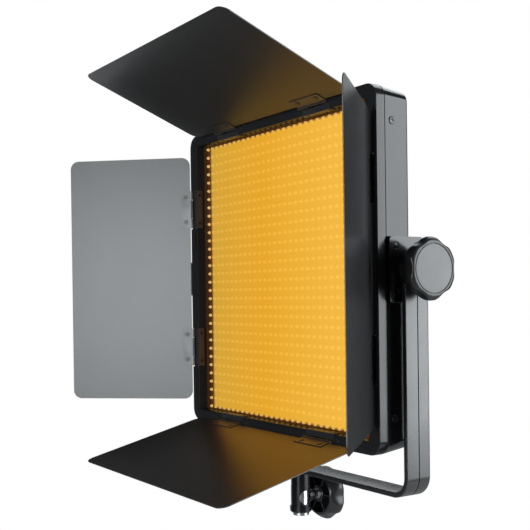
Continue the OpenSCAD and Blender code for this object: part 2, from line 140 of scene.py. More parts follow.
def remap(tree, value, low, high, out_low, out_high):
    node = tree.nodes.new("ShaderNodeMapRange")
    for key, v in zip(("From Min", "From Max", "To Min", "To Max"), (low, high, out_low, out_high)):
        node.inputs[key].default_value = v
    tree.links.new(value, node.inputs["Value"])
    return node.outputs["Result"]


def ramp(tree, value, stops):
    node = tree.nodes.new("ShaderNodeValToRGB")
    while len(node.color_ramp.elements) < len(stops):
        node.color_ramp.elements.new(1.0)
    for element, (at, colour) in zip(node.color_ramp.elements, stops):
        element.position = at
        element.color = (*colour, 1)
    tree.links.new(value, node.inputs["Fac"])
    return node.outputs["Color"]


def bump(tree, shader, height, depth):
    """Adds a bump to the shader; depth is the relief in metres."""
    node = tree.nodes.new("ShaderNodeBump")
    node.inputs["Strength"].default_value = 1.0
    node.inputs["Distance"].default_value = depth
    tree.links.new(height, node.inputs["Height"])
    tree.links.new(node.outputs["Normal"], shader.inputs["Normal"])


def math_node(tree, operation, first, second):
    """Two values, each a number or a node's output, put through a math node."""
    node = tree.nodes.new("ShaderNodeMath")
    node.operation = operation
    for socket, value in zip(node.inputs, (first, second)):
        if isinstance(value, float):
            socket.default_value = value
        else:
            tree.links.new(value, socket)
    return node.outputs[0]


def edge_mask(tree, radius):
    """1 on a hard edge and 0 on the faces beside it, broken up by noise so it reads as rubbed."""
    rounded = tree.nodes.new("ShaderNodeBevel")
    rounded.samples = 4
    rounded.inputs["Radius"].default_value = radius
    flat = tree.nodes.new("ShaderNodeNewGeometry")
    dot = tree.nodes.new("ShaderNodeVectorMath")
    dot.operation = "DOT_PRODUCT"
    tree.links.new(rounded.outputs["Normal"], dot.inputs[0])
    tree.links.new(flat.outputs["Normal"], dot.inputs[1])
    edge = remap(tree, dot.outputs["Value"], 0.98, 0.80, 0.0, 1.0)
    patchy = remap(tree, noise(tree, WEAR_SCALE, 4), 0.42, 0.62, 0.0, 1.0)
    return math_node(tree, "MULTIPLY", edge, patchy)


def coated(
    name, dark, light, rough=(0.35, 0.5),
    grain=900, relief=0.04 * MM, metallic=0.0, specular=0.5, coat=0.0, worn=None,
):
    """Moulded, cast or painted surface: a grained finish whose shade and gloss wander slightly.
    worn is the colour that shows where its edges are rubbed."""
    mat, tree, shader = new_material(name)
    wander = noise(tree, SHADE_SCALE, 3)
    fine = noise(tree, grain, 6, 0.6)
    colour = ramp(tree, wander, [(0.3, dark), (0.7, light)])
    if worn:
        mix = tree.nodes.new("ShaderNodeMixRGB")
        mix.inputs["Color2"].default_value = (*worn, 1)
        tree.links.new(edge_mask(tree, EDGE_WEAR), mix.inputs["Fac"])
        tree.links.new(colour, mix.inputs["Color1"])
        colour = mix.outputs["Color"]
    tree.links.new(colour, shader.inputs["Base Color"])
    tree.links.new(remap(tree, noise(tree, GLOSS_SCALE, 5), 0.3, 0.7, *rough), shader.inputs["Roughness"])
    shader.inputs["Metallic"].default_value = metallic
    shader.inputs["Specular IOR Level"].default_value = specular
    shader.inputs["Coat Weight"].default_value = coat
    bump(tree, shader, fine, relief)
    return mat


def metal(name, colour, rough=(0.18, 0.32)):
    """Bare or plated metal, a little dimmer in patches, with a fine grain."""
    dim = tuple(c * 0.8 for c in colour)
    return coated(name, dim, colour, rough, grain=700, relief=0.008 * MM, metallic=1.0)


MATERIALS = {
    "yoke_metal": coated(
        "yoke_paint", (0.013, 0.0135, 0.0145), (0.017, 0.0175, 0.019), (0.24, 0.3),
        grain=1200, relief=0.006 * MM, specular=0.68, worn=RUBBED,
    ),
    "receiver_metal": coated(
        "receiver_paint", (0.005, 0.005, 0.0055), (0.007, 0.007, 0.008), (0.2, 0.28),
        grain=900, relief=0.02 * MM, specular=0.28, worn=RUBBED,
    ),
    "bright_steel": metal("zinc_steel", (0.62, 0.62, 0.63)),
    "chrome": metal("chrome_liner", (0.88, 0.89, 0.91), (0.16, 0.26)),
    "knob_plastic": coated(
        "knob_moulding", (0.007, 0.007, 0.0075), (0.010, 0.010, 0.011), (0.30, 0.36),
        grain=1500, relief=0.02 * MM, worn=RUBBED,
    ),
    "knob_cap_plastic": coated(
        "knob_cap_moulding", (0.020, 0.021, 0.022), (0.026, 0.027, 0.029), (0.32, 0.38),
        grain=2200, specular=0.65,
    ),
    "brass": metal("turned_brass", (0.72, 0.52, 0.24)),
    "bezel_plastic": coated(
        "bezel_moulding", (0.010, 0.010, 0.011), (0.014, 0.014, 0.015), (0.14, 0.2),
        grain=1400, relief=0.01 * MM, specular=0.38, worn=RUBBED,
    ),
    "shell_plastic": coated(
        "shell_moulding", (0.009, 0.009, 0.010), (0.012, 0.012, 0.013), (0.1, 0.16),
        grain=1400, relief=0.01 * MM, specular=0.34, worn=RUBBED,
    ),
    "spine_plastic": coated(
        "spine_moulding", (0.016, 0.016, 0.018), (0.022, 0.022, 0.025), (0.38, 0.5),
        grain=1400, worn=RUBBED,
    ),
    "block_metal": coated(
        "block_moulding", (0.007, 0.007, 0.008), (0.010, 0.010, 0.011), (0.14, 0.2),
        grain=1400, relief=0.01 * MM, worn=RUBBED,
    ),
    "washer_plastic": coated("washer_fibre", (0.008, 0.008, 0.008), (0.014, 0.014, 0.014), (0.7, 0.85)),
    "screw_steel": metal("nickel_plate", (0.10, 0.10, 0.105), (0.32, 0.45)),
    "screw_black": coated(
        "black_oxide", (0.003, 0.003, 0.003), (0.005, 0.005, 0.005), (0.2, 0.28), specular=0.4
    ),
    "inner_plastic": coated("inner_moulding", (0.010, 0.007, 0.005), (0.016, 0.011, 0.008), (0.5, 0.65)),
    "board": coated("solder_mask", (0.010, 0.050, 0.022), (0.016, 0.070, 0.030), (0.3, 0.4)),
    "heat_metal": metal("mill_aluminium", (0.72, 0.73, 0.75), (0.3, 0.45)),
    "leaf_metal": coated(
        "leaf_paint", (0.014, 0.0145, 0.0155), (0.018, 0.0185, 0.0195), (0.3, 0.4),
        grain=1400, relief=0.02 * MM, worn=RUBBED,
    ),
    "door_metal": coated(
        "door_powder_coat", (0.0121, 0.0126, 0.0136), (0.0129, 0.0134, 0.0144), (0.342, 0.35),
        grain=2600, relief=0.02 * MM, worn=RUBBED,
    ),
    "rivet_metal": coated(
        "rivet_paint", (0.010, 0.010, 0.011), (0.014, 0.014, 0.015), (0.34, 0.4), specular=0.35
    ),
    "display_glass": coated(
        "display_window", (0.006, 0.009, 0.010), (0.008, 0.012, 0.013), (0.05, 0.08),
        grain=60, relief=0.0, coat=0.5,
    ),
    "inlet_plastic": coated("inlet_moulding", (0.010, 0.010, 0.010), (0.016, 0.016, 0.016), (0.4, 0.5)),
    "rocker_plastic": coated("rocker_moulding", (0.008, 0.008, 0.008), (0.012, 0.012, 0.012), (0.2, 0.28)),
    "dial_plastic": coated(
        "dial_moulding", (0.014, 0.014, 0.015), (0.020, 0.020, 0.022), (0.4, 0.5), worn=RUBBED
    ),
    "button_plastic": coated("button_moulding", (0.10, 0.10, 0.11), (0.13, 0.13, 0.14), (0.4, 0.5)),
}


def field_mask(tree, side_reach, end_reach):
    """1 over the LED field and 0 past it, and the place across it.
    The reaches are the half width and half height of the field."""
    split = tree.nodes.new("ShaderNodeSeparateXYZ")
    tree.links.new(object_coords(tree), split.inputs["Vector"])

    def edge(axis, centre, reach):
        off = math_node(tree, "ABSOLUTE", math_node(tree, "SUBTRACT", split.outputs[axis], centre), 0.0)
        return remap(tree, off, reach - GLOW_FADE, reach + GLOW_FADE, 1.0, 0.0)

    mask = math_node(tree, "MULTIPLY", edge("X", 0.0, side_reach), edge("Z", CENTRE_Z, end_reach))
    return mask, split.outputs["X"]


def by_mask(tree, mask, off, on):
    """off where the mask is 0 and on where it is 1."""
    return remap(tree, mask, 0.0, 1.0, off, on)


def amber_sheet():
    """Amber filter that spreads the light of the LEDs: it glows over them and stays clear round them. Its
    glow carries a painted falloff across the field, dimmer towards -X and brightest towards +X.
    """
    mat, tree, shader = new_material("amber_sheet")
    mask, across = field_mask(tree, GLOW_SIDE - FILTER_MARGIN, GLOW_END)
    # Painted falloff: the glow colour runs from dimmer at -X to brightest at +X across the field.
    place = remap(tree, across, -GLOW_SIDE, GLOW_SIDE, 0.0, 1.0)
    stops = [(0.0, (0.66, 0.42, 0.05)), (0.4, (0.85, 0.44, 0.026)), (1.0, (1.0, 0.62, 0.085))]
    glow = ramp(tree, place, stops)
    tree.links.new(glow, shader.inputs["Emission Color"])
    tree.links.new(by_mask(tree, mask, 0.02, 0.85), shader.inputs["Emission Strength"])
    shader.inputs["Base Color"].default_value = (0.09, 0.022, 0.003, 1)
    shader.inputs["Roughness"].default_value = 0.3
    tree.links.new(by_mask(tree, mask, 0.30, 0.62), shader.inputs["Alpha"])
    bump(tree, shader, noise(tree, 30, 2), 0.1 * MM)
    return mat


def lit_board():
    """Board under the LEDs: it glows evenly between them and goes dark past the outer rows."""
    mat, tree, shader = new_material("lit_board")
    mask = field_mask(tree, GLOW_SIDE, GLOW_END)[0]
    tree.links.new(by_mask(tree, mask, 0.02, 0.62), shader.inputs["Emission Strength"])
    shader.inputs["Emission Color"].default_value = (1.0, 0.48, 0.03, 1)
    shader.inputs["Base Color"].default_value = (0.16, 0.03, 0.006, 1)
    shader.inputs["Roughness"].default_value = 0.5
    return mat


def led_dome():
    """Epoxy dome of an LED, brighter past the evenly lit field, where the outer rows stand out singly."""
    mat, tree, shader = new_material("led_dome")
    mask = field_mask(tree, GLOW_SIDE, GLOW_END)[0]
    shader.inputs["Base Color"].default_value = (0.9, 0.7, 0.4, 1)
    shader.inputs["Emission Color"].default_value = (1.0, 0.60, 0.11, 1)
    tree.links.new(by_mask(tree, mask, 0.95, 0.70), shader.inputs["Emission Strength"])
    shader.inputs["Roughness"].default_value = 0.15
    return mat


def matte_inside(mat, reach):
    """Takes the gloss off whatever lies inside the front opening, so its walls stay dark by the LEDs."""
    tree = mat.node_tree
    shader = tree.nodes["Principled BSDF"]
    level = shader.inputs["Specular IOR Level"]
    mask = field_mask(tree, reach, reach)[0]
    tree.links.new(by_mask(tree, mask, level.default_value, 0.03), level)


matte_inside(MATERIALS["bezel_plastic"], -filter_low.x)
MATERIALS["filter_sheet"] = amber_sheet()
MATERIALS["led_lens"] = led_dome()


def paint(obj, mat):
    """Puts one material in every slot of an object."""
    if not obj.material_slots:
        obj.data.materials.append(mat)
    for s in obj.material_slots:
        s.material = mat


SLOTS = {entry["node"]: entry["material_slot"] for entry in frame["record"]["subparts"]}
for node, slot in SLOTS.items():
    paint(frame["nodes"][node], MATERIALS[slot])
paint(frame["nodes"]["led_board"], lit_board())

# ---- Mesh helpers ----

SMOOTH_ANGLE = 35
SHARP_ANGLE = 30


def solid(name, verts, faces, smooth=SMOOTH_ANGLE):
    """Object from raw points and faces, normals out, smooth except across edges sharper than the angle."""
    mesh = bpy.data.meshes.new(name)
    mesh.from_pydata([tuple(v) for v in verts], [], faces)
    bm = bmesh.new()
    bm.from_mesh(mesh)
    bmesh.ops.remove_doubles(bm, verts=bm.verts, dist=1e-7)
    bmesh.ops.recalc_face_normals(bm, faces=bm.faces)
    bm.to_mesh(mesh)
    bm.free()
    obj = bpy.data.objects.new(name, mesh)
    bpy.context.collection.objects.link(obj)
    soften(obj, smooth)
    return obj


def soften(obj, angle):
    obj.data.polygons.foreach_set("use_smooth", [True] * len(obj.data.polygons))
    obj.data.set_sharp_from_angle(angle=math.radians(angle))


def loft(rings, looped=False):
    """Faces between rings of equally many points; looped joins last to first, or else both ends close."""
    n = len(rings[0])
    verts = [p for ring in rings for p in ring]
    faces = []
    pairs = list(zip(range(len(rings)), range(1, len(rings))))
    if looped:
        pairs.append((len(rings) - 1, 0))
    for a, b in pairs:
        for k in range(n):
            m = (k + 1) % n
            faces.append((a * n + k, a * n + m, b * n + m, b * n + k))
    if not looped:
        faces.append(tuple(range(n))[::-1])
        faces.append(tuple(range((len(rings) - 1) * n, len(rings) * n)))
    return verts, faces


def rounded_ring(w, h, r, y, steps=8):
    """Rounded rectangle about the field centre, seen from the front, at the station y."""
    points = []
    for cx, cz, start in ((1, 1, 0), (-1, 1, 90), (-1, -1, 180), (1, -1, 270)):
        for i in range(steps + 1):
            a = math.radians(start + 90 * i / steps)
            x = cx * (w / 2 - r) + r * math.cos(a)
            z = cz * (h / 2 - r) + r * math.sin(a)
            points.append((x, y, CENTRE_Z + z))
    return points


def revolve(profile, count, radius=None):
    """Turns (r, h) points about Z; radius(angle, r) may reshape a point's radius.
    A profile's ends on the axis close."""
    verts, faces, rows = [], [], []
    for r, h in profile:
        if r < 1e-9:
            rows.append([len(verts)] * count)
            verts.append((0, 0, h))
            continue
        row = []
        for k in range(count):
            a = 2 * math.pi * k / count
            rr = radius(a, r) if radius else r
            row.append(len(verts))
            verts.append((rr * math.cos(a), rr * math.sin(a), h))
        rows.append(row)
    for low, high in zip(rows, rows[1:]):
        for k in range(count):
            m = (k + 1) % count
            face = [low[k], low[m], high[m], high[k]]
            face = [v for i, v in enumerate(face) if v != face[i - 1]]
            if len(face) > 2:
                faces.append(tuple(face))
    return verts, faces


def arc(cx, cy, r, start, end, steps):
    """Points (x, y) along an arc, in degrees."""
    spread = [math.radians(start + (end - start) * i / steps) for i in range(steps + 1)]
    return [(cx + r * math.cos(a), cy + r * math.sin(a)) for a in spread]


def placed(shape, matrix):
    """The shape's points moved by the matrix."""
    verts, faces = shape
    return [matrix @ Vector(v) for v in verts], faces


def joined(shapes):
    verts, faces = [], []
    for more_verts, more_faces in shapes:
        start = len(verts)
        verts += more_verts
        faces += [tuple(start + i for i in f) for f in more_faces]
    return verts, faces


def along(axis, at):
    """Matrix that stands a Z-up shape on the point at, pointing along the axis."""
    turn = Vector((0, 0, 1)).rotation_difference(Vector(axis)).to_matrix().to_4x4()
    return Matrix.Translation(at) @ turn


def weigh(obj):
    """Large faces keep their own direction, so flat faces shade flat right up to their rounded edges."""
    modifier = obj.modifiers.new("normals", "WEIGHTED_NORMAL")
    modifier.keep_sharp = True
    modifier.weight = 100
    applied(obj)


def applied(obj):
    """Bakes the object's modifiers into its mesh."""
    bpy.context.view_layer.update()
    graph = bpy.context.evaluated_depsgraph_get()
    mesh = bpy.data.meshes.new_from_object(obj.evaluated_get(graph))
    obj.modifiers.clear()
    obj.data = mesh


def cut(obj, cutters):
    """Subtracts closed shapes from the object."""
    tool = solid(obj.name + "_tool", *joined(cutters))
    modifier = obj.modifiers.new("cut", "BOOLEAN")
    modifier.object = tool
    modifier.solver = "EXACT"
    applied(obj)
    bpy.data.objects.remove(tool)
    soften(obj, SMOOTH_ANGLE)


def publish(obj, *nodes):
    """Makes the object stand for CAD nodes: same body and same finish as the first of them."""
    first = frame["nodes"][nodes[0]]
    slot = SLOTS[nodes[0]]
    paint(obj, MATERIALS[slot])
    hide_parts(*nodes)
    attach(obj, first["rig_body"])


def refined(node, width, segments=3):
    """Detailed stand-in for a CAD node: its own faces, merged and with every hard edge rounded off."""
    obj = bpy.data.objects.new(node + "_piece", frame["nodes"][node].data.copy())
    bpy.context.collection.objects.link(obj)
    bm = bmesh.new()
    bm.from_mesh(obj.data)
    bmesh.ops.remove_doubles(bm, verts=bm.verts, dist=2e-6)
    bmesh.ops.dissolve_limit(
        bm, angle_limit=math.radians(0.6), verts=bm.verts, edges=bm.edges, use_dissolve_boundaries=False
    )
    bm.to_mesh(obj.data)
    bm.free()
    obj.data.materials.clear()
    modifier = obj.modifiers.new("edges", "BEVEL")
    modifier.width = width
    modifier.segments = segments
    modifier.limit_method = "ANGLE"
    modifier.angle_limit = math.radians(SHARP_ANGLE)
    modifier.use_clamp_overlap = True
    modifier.miter_outer = "MITER_ARC"
    applied(obj)
    soften(obj, 25)
    weigh(obj)
    publish(obj, node)


# ---- Yoke ----

ARM_T = 5 * MM
BAR_W = yoke_high.y - yoke_low.y
BAR_BOTTOM = yoke_low.z
ARM_OUT = yoke_high.x
BEND_R = 20 * MM
FRONT_EDGE_R = 0.6 * MM
BACK_EDGE_R = 2.3 * MM
GROOVE_W = 1.2 * MM
GROOVE_D = 0.9 * MM
STUD_HOLE = 4.05 * MM
ARM_TOP_STEPS = 9
BEND_STEPS = 12
CUT_PAST = 10 * MM


def bar_section(centre, outward, half, groove):
    """Section of the flat bar: a crisp front edge, a rolled back edge and a groove down its outer face."""
    out = Vector(outward)
    t = ARM_T / 2
    front = min(FRONT_EDGE_R, half * 0.6)
    back = min(BACK_EDGE_R, half * 0.6)
    g = min(GROOVE_W / 2, half * 0.2)
    outer = arc(half - back, t - back, back, 0, 90, 5)
    outer += [(g, t), (g * 0.6, t - groove), (-g * 0.6, t - groove), (-g, t)]
    outer += arc(front - half, t - front, front, 90, 180, 5)
    inner = arc(front - half, front - t, front, 180, 270, 5) + arc(half - back, back - t, back, 270, 360, 5)
    return [Vector(centre) + Vector((0, y, 0)) + out * n for y, n in outer + inner]


def yoke_shape():
    """One sweep from the right arm's rounded top, round both bends, to the left arm's."""
    stations = []
    mid_x = ARM_OUT - ARM_T / 2
    half = BAR_W / 2
    for i in range(1, ARM_TOP_STEPS):
        a = math.radians(90 * (1 - i / ARM_TOP_STEPS))
        stations.append(((mid_x, 0, CENTRE_Z + half * math.sin(a)), (1, 0, 0), half * math.cos(a), 0))
    bend_z = BAR_BOTTOM + BEND_R
    groove_top = CENTRE_Z - half
    for z, depth in ((CENTRE_Z, 0), (groove_top, 0), (groove_top - 0.5 * MM, GROOVE_D)):
        stations.append(((mid_x, 0, z), (1, 0, 0), half, depth))
    centre_x = ARM_OUT - BEND_R
    mid_r = BEND_R - ARM_T / 2
    for i in range(BEND_STEPS + 1):
        a = math.radians(-90 * i / BEND_STEPS)
        out = (math.cos(a), 0, math.sin(a))
        stations.append(((centre_x + mid_r * out[0], 0, bend_z + mid_r * out[2]), out, half, GROOVE_D))
    left = [((-c[0], c[1], c[2]), (-o[0], o[1], o[2]), h, d) for c, o, h, d in reversed(stations)]
    return loft([bar_section(*s) for s in stations + left])


def bore(axis, at, r, length):
    """Plain cylinder used to cut a hole, starting at a point."""
    return placed(revolve([(0, 0), (r, 0), (r, length), (0, length)], 32), along(axis, at))


yoke = solid("yoke", *yoke_shape())
cut(
    yoke,
    [
        bore((1, 0, 0), (-ARM_OUT - CUT_PAST, 0, CENTRE_Z), STUD_HOLE, 2 * ARM_OUT + 2 * CUT_PAST),
        bore((0, 0, 1), (0, 0, BAR_BOTTOM - CUT_PAST), STUD_HOLE, 3 * CUT_PAST),
    ],
)
publish(yoke, "yoke_bar")

# ---- Hand knobs ----

KNOB_BASE_R = 23 * MM
KNOB_R = 29 * MM
KNOB_WIDE_H = 12.5 * MM
KNOB_H = 18 * MM
CAP_R = 22.3 * MM
CAP_T = 1.4 * MM
HUB_R = 9 * MM
HUB_REACH = 4 * MM
INSERT_R = 6 * MM
INSERT_H = 12 * MM
HOLLOW_R = 20.5 * MM
BASE_RISE = 0.3 * MM
SHOULDER = 5.7 * MM
LOBES = 6
VALLEY_R = 26.1 * MM
VALLEY_RISE = 3.2 * MM
VALLEY_HALF = 15
VALLEY_BLEND = 4.5 * MM
CAP_GAP = 0.5 * MM
RIB_HALF_T = 0.8 * MM


def smooth_min(a, b, k):
    """The smaller of two lengths, blended over the length k where they are close."""
    h = max(k - abs(a - b), 0) / k
    return min(a, b) - h * h * k / 4


def lobed(angle, r):
    """Radius of the grip with a shallow valley between neighbouring lobes."""
    if r < KNOB_BASE_R - 0.1 * MM:
        return r
    step = 2 * math.pi / LOBES
    off = abs(angle % step - step / 2)
    valley = VALLEY_R + VALLEY_RISE * (off / math.radians(VALLEY_HALF)) ** 2
    return smooth_min(r, valley, VALLEY_BLEND)


def knob_shape(hub):
    """Hollow moulded grip, base ring down: bore, hub, pocket, lobed rim and the seat for the cap."""
    soft = 0.6 * MM
    profile = [(0, INSERT_H), (INSERT_R, INSERT_H), (INSERT_R, -hub)]
    profile += [(HUB_R - soft, -hub), (HUB_R, soft - hub)]
    profile += [(HUB_R, INSERT_H), (HOLLOW_R, INSERT_H), (HOLLOW_R, soft), (HOLLOW_R + soft, 0)]
    profile += [(KNOB_BASE_R - soft, 0)]
    for i in range(9):
        a = math.radians(90 * i / 8)
        h = BASE_RISE + (KNOB_WIDE_H - BASE_RISE) * i / 8
        profile.append((KNOB_BASE_R + (KNOB_R - KNOB_BASE_R) * math.sin(a), h))
    for i in range(1, 11):
        a = math.radians(90 * i / 10)
        r = KNOB_R - SHOULDER * (1 - math.cos(a))
        profile.append((r, KNOB_WIDE_H + (KNOB_H - KNOB_WIDE_H) * math.sin(a)))
    seat = KNOB_H - CAP_T
    profile += [(CAP_R + 0.55 * MM, KNOB_H - 0.1 * MM), (CAP_R + CAP_GAP, KNOB_H - 0.3 * MM)]
    profile += [(CAP_R + CAP_GAP, seat), (0, seat)]
    grip = revolve(profile, 120, lobed)
    ribs = []
    for i in range(LOBES):
        turn = Matrix.Rotation(2 * math.pi / LOBES * (i + 0.5), 4, "Z")
        x0, x1, t = HUB_R - 0.2 * MM, HOLLOW_R + 0.2 * MM, RIB_HALF_T
        z0, z1 = 1.2 * MM, INSERT_H + 0.2 * MM
        low = [(x0, -t, z0), (x1, -t, z0), (x1, t, z0), (x0, t, z0)]
        edge = [(x0, -t * 0.7, z0 - 0.2 * MM), (x1, -t * 0.7, z0 - 0.2 * MM)]
        edge += [(x1, t * 0.7, z0 - 0.2 * MM), (x0, t * 0.7, z0 - 0.2 * MM)]
        high = [(x, y, z1) for x, y, z in low]
        ribs.append(placed(loft([edge, low, high]), turn))
    return joined([grip] + ribs)


def cap_shape():
    """Flat cap let into the knob, with a soft edge and a faintly domed face."""
    low = KNOB_H - CAP_T
    profile = [(0, low), (CAP_R, low), (CAP_R, KNOB_H - 0.5 * MM)]
    profile += arc(CAP_R - 0.5 * MM, KNOB_H - 0.5 * MM, 0.4 * MM, 0, 90, 4)
    profile += [(CAP_R * f, KNOB_H - 0.1 * MM + 0.1 * MM * (1 - f * f)) for f in (0.8, 0.6, 0.4, 0.2)]
    profile += [(0, KNOB_H)]
    return revolve(profile, 96)


tilt_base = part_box("tilt_knob_right")[0].x + HUB_REACH
CLAMP_Z = (clamp_low.z + clamp_high.z) / 2
# label, axis, middle of the base ring, length of the hub below it, turn about the axis, CAD nodes
KNOBS = [
    ("right", (1, 0, 0), (tilt_base, 0, CENTRE_Z), HUB_REACH, 0, "tilt_knob_right", "tilt_knob_cap_right"),
    ("left", (-1, 0, 0), (-tilt_base, 0, CENTRE_Z), HUB_REACH, 0, "tilt_knob_left", "tilt_knob_cap_left"),
    ("clamp", (0, 1, 0), (0, clamp_low.y, CLAMP_Z), 0, 30, "clamp_knob", "clamp_knob_cap"),
]
for label, axis, at, hub, turn, body_node, cap_node in KNOBS:
    stand = along(axis, at) @ Matrix.Rotation(math.radians(turn), 4, "Z")
    publish(solid("knob_" + label, *placed(knob_shape(hub), stand)), body_node)
    publish(solid("knob_face_" + label, *placed(cap_shape(), stand)), cap_node)

# ---- Case ----

CASE_W = bezel_high.x - bezel_low.x
CASE_H = bezel_high.z - bezel_low.z
CORNER_R = 14 * MM
OPENING_R = 3 * MM
SEAM_EDGE = 0.3 * MM
FRONT_Y = bezel_low.y
SEAM_Y = shell_low.y
REAR_Y = shell_high.y
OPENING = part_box("filter_frame")[1].x * 2 - 6 * MM
BEZEL_R = 0.8 * MM
WALL_T = 2.5 * MM


def bezel_shape():
    """Front frame with rounded edges round its face and a thin inner wall back to the filter."""
    back = bezel_high.y
    r = BEZEL_R
    rings = [(CASE_W - 2 * SEAM_EDGE, CASE_H - 2 * SEAM_EDGE, CORNER_R - SEAM_EDGE, back)]
    rings.append((CASE_W, CASE_H, CORNER_R, back - SEAM_EDGE))
    for x, y in arc(0, 0, r, 0, 90, 5):
        rings.append((CASE_W - 2 * (r - x), CASE_H - 2 * (r - x), CORNER_R - r + x, FRONT_Y + r - y))
    for x, y in arc(0, 0, r, 90, 0, 5):
        rings.append((OPENING + 2 * (r - x), OPENING + 2 * (r - x), OPENING_R + r - x, FRONT_Y + r - y))
    rings.append((OPENING, OPENING, OPENING_R, back))
    return loft([rounded_ring(*r) for r in rings], looped=True)


publish(solid("bezel", *bezel_shape()), "front_bezel")

DRAFT = 3.5 * MM
VENTS = 25
VENT_STEP = 9 * MM
VENT_W = 3 * MM
VENT_H = 46 * MM
VENT_LEVELS = (-95 * MM, 95 * MM)
REAR_R = 3 * MM
BLOCK_CORNER_R = 4 * MM
BLOCK_GAP = 0.05 * MM


def shell_shape():
    """Rear half of the case: drafted sides, rounded rear edge, hollow from the seam."""
    inside = DRAFT + WALL_T + 1 * MM
    rings = [(CASE_W - 2 * inside, CASE_H - 2 * inside, CORNER_R - 5 * MM, REAR_Y - WALL_T)]
    rings.append((CASE_W - 2 * WALL_T, CASE_H - 2 * WALL_T, CORNER_R - WALL_T, SEAM_Y))
    rings.append((CASE_W - 2 * SEAM_EDGE, CASE_H - 2 * SEAM_EDGE, CORNER_R - SEAM_EDGE, SEAM_Y))
    rings.append((CASE_W, CASE_H, CORNER_R, SEAM_Y + SEAM_EDGE))
    for x, y in arc(0, 0, REAR_R, 0, 90, 8):
        inset = DRAFT + REAR_R - x
        corner = CORNER_R - 1 * MM - inset * 0.6
        rings.append((CASE_W - 2 * inset, CASE_H - 2 * inset, corner, REAR_Y - REAR_R + y))
    return loft([rounded_ring(*r, steps=10) for r in rings])


def pocket(hand):
    """Cutter the size of a pivot block, open to the seam and run out through the side of the case."""
    low, high = block_low, block_high
    r, gap = BLOCK_CORNER_R, BLOCK_GAP
    ring = arc(high.y - r, high.z - r, r + gap, 0, 90, 8)
    ring += [(SEAM_Y - 1 * MM, high.z + gap), (SEAM_Y - 1 * MM, low.z - gap)]
    ring += arc(high.y - r, low.z + r, r + gap, 270, 360, 8)
    stations = (low.x - 0.1 * MM, high.x + 1 * MM)
    return loft([[(hand * x, y, z) for y, z in ring] for x in stations])


def slot_cutter(x, z):
    """Vertical vent slot with round ends, cut through the rear wall."""
    r = VENT_W / 2
    ends = arc(0, VENT_H / 2 - r, r, 0, 180, 6) + arc(0, r - VENT_H / 2, r, 180, 360, 6)
    reach = (REAR_Y - WALL_T - 1 * MM, REAR_Y + 1 * MM)
    return loft([[(x + dx, y, z + dz) for dx, dz in ends] for y in reach])


# Screws: radius, height and depth of the recess of each head
CASE_SCREW = (3.4 * MM, 1.1 * MM, 0.9 * MM)
BLOCK_SCREW = (2.9 * MM, 1.2 * MM, 0.6 * MM)
SCREW_Y = -15.5 * MM
SCREW_Z = 137 * MM
SCREW_WELL_R = 4 * MM
BLOCK_SCREW_Y = (-16 * MM, 9 * MM)
BLOCK_SCREW_Z = (-22 * MM, 22 * MM)


def side_x(y):
    """Half width of the drafted shell at a station."""
    return CASE_W / 2 - DRAFT * (y - SEAM_Y) / (REAR_Y - REAR_R - SEAM_Y)


def case_screw_seats(depth):
    """Outward axis and place of each case screw, at a depth under the side of the case."""
    x = side_x(SCREW_Y) - depth
    corners = [(hand, up) for hand in (1, -1) for up in (1, -1)]
    return [((hand, 0, 0), (hand * x, SCREW_Y, CENTRE_Z + up * SCREW_Z)) for hand, up in corners]


shell = solid("shell", *shell_shape())
cutters = [pocket(1), pocket(-1)]
for level in VENT_LEVELS:
    for i in range(VENTS):
        cutters.append(slot_cutter((i - (VENTS - 1) / 2) * VENT_STEP, CENTRE_Z + level))
cutters += [bore(axis, at, SCREW_WELL_R, CUT_PAST) for axis, at in case_screw_seats(0.6 * MM)]
cut(shell, cutters)
publish(shell, "rear_shell")


def screw_shape(r, h, recess):
    """Pan head with a cross recess sunk into its dome, standing on its shank."""
    count = 48
    slot_half = 0.16 * r
    reach = 0.62 * r

    def drop(x, y):
        in_cross = (abs(x) < slot_half and abs(y) < reach) or (abs(y) < slot_half and abs(x) < reach)
        return recess if in_cross else 0.0

    verts, faces = revolve([(0, -2 * h), (0.5 * r, -2 * h), (0.5 * r, 0), (r, 0), (r, h * 0.45)], count)
    rings = 22
    rows = [[len(verts) - count + k for k in range(count)]]
    for i in range(1, rings):
        f = 1 - i / rings
        row = []
        for k in range(count):
            a = 2 * math.pi * k / count
            x, y = r * f * math.cos(a), r * f * math.sin(a)
            top = h * (0.45 + 0.55 * math.sqrt(max(1 - f**2.6, 0)))
            row.append(len(verts))
            verts.append((x, y, top - drop(x, y)))
        rows.append(row)
    tip = len(verts)
    verts.append((0, 0, h - recess))
    for low, high in zip(rows, rows[1:]):
        faces += [(low[k], low[(k + 1) % count], high[(k + 1) % count], high[k]) for k in range(count)]
    faces += [(rows[-1][k], rows[-1][(k + 1) % count], tip) for k in range(count)]
    return verts, faces


case_screws = [placed(screw_shape(*CASE_SCREW), along(*seat)) for seat in case_screw_seats(0.2 * MM)]
publish(solid("screws_case", *joined(case_screws), smooth=30), "case_screws")

block_screws = []
for hand in (1, -1):
    for y in BLOCK_SCREW_Y:
        for z in BLOCK_SCREW_Z:
            at = (hand * (block_high.x - 1.4 * MM), y, CENTRE_Z + z)
            block_screws.append(placed(screw_shape(*BLOCK_SCREW), along((hand, 0, 0), at)))
publish(solid("screws_block", *joined(block_screws), smooth=30), "block_screws")

# ---- LEDs ----

DOME_R = 1.8 * MM
DOME_WALL_H = 0.8 * MM


def dome_shape():
    """Low round lens with an upright wall, standing on its base."""
    h = board_front - leds_front
    profile = [(DOME_R, 0), (DOME_R, DOME_WALL_H)]
    for a in (math.radians(30), math.radians(60)):
        profile.append((DOME_R * math.cos(a), DOME_WALL_H + (h - DOME_WALL_H) * math.sin(a)))
    return revolve(profile + [(0, h)], 12)


